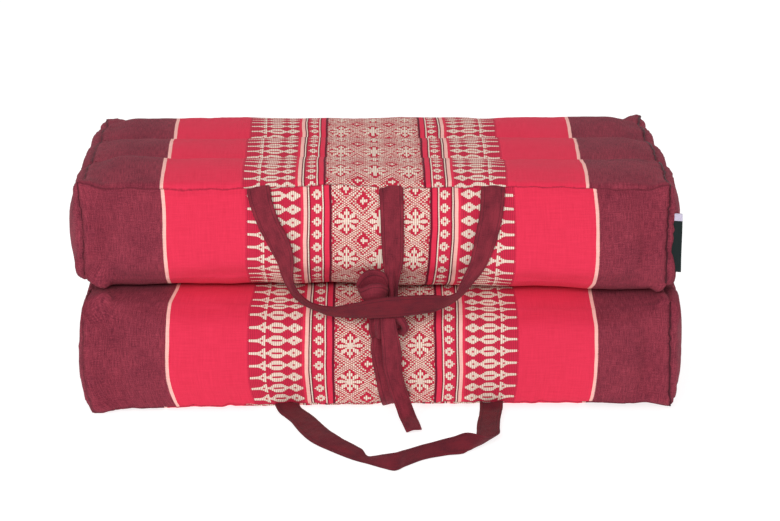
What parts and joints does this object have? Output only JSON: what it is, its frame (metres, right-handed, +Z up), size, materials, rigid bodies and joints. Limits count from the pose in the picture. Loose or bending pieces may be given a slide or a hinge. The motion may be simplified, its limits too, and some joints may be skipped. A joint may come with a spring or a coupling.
{
  "type": "folding meditation cushion",
  "caption": "Folding meditation cushion, closed: two filled blocks with sewn channels, laid face to face, with carry handles and knotted front ties.",
  "frame": {"origin": "middle of the flat under the lower block, on the surface that the cushion rests on", "axes": "+X along the cushion's length, +Z up, -Y the open front with the handles and ties"},
  "size_m": [0.5365, 0.4766, 0.2199],
  "materials": {
    "patterned_cotton": "plain and figured woven cotton, matt",
    "maroon_cotton": "plain woven cotton, matt, slightly slubbed",
    "strap_cotton": "folded and stitched cotton strap, matt with a faint sheen",
    "tag_tape": "woven tape, satin"
  },
  "bodies": {
    "root": {"upper_block": "patterned_cotton", "lower_block": "patterned_cotton", "back_hinge": "maroon_cotton", "upper_handle": "strap_cotton", "lower_handle": "strap_cotton", "upper_tie": "strap_cotton", "lower_tie": "strap_cotton", "tie_end": "strap_cotton", "bow_loop": "strap_cotton", "knot": "strap_cotton", "side_tag": "tag_tape"}
  },
  "joints": []
}
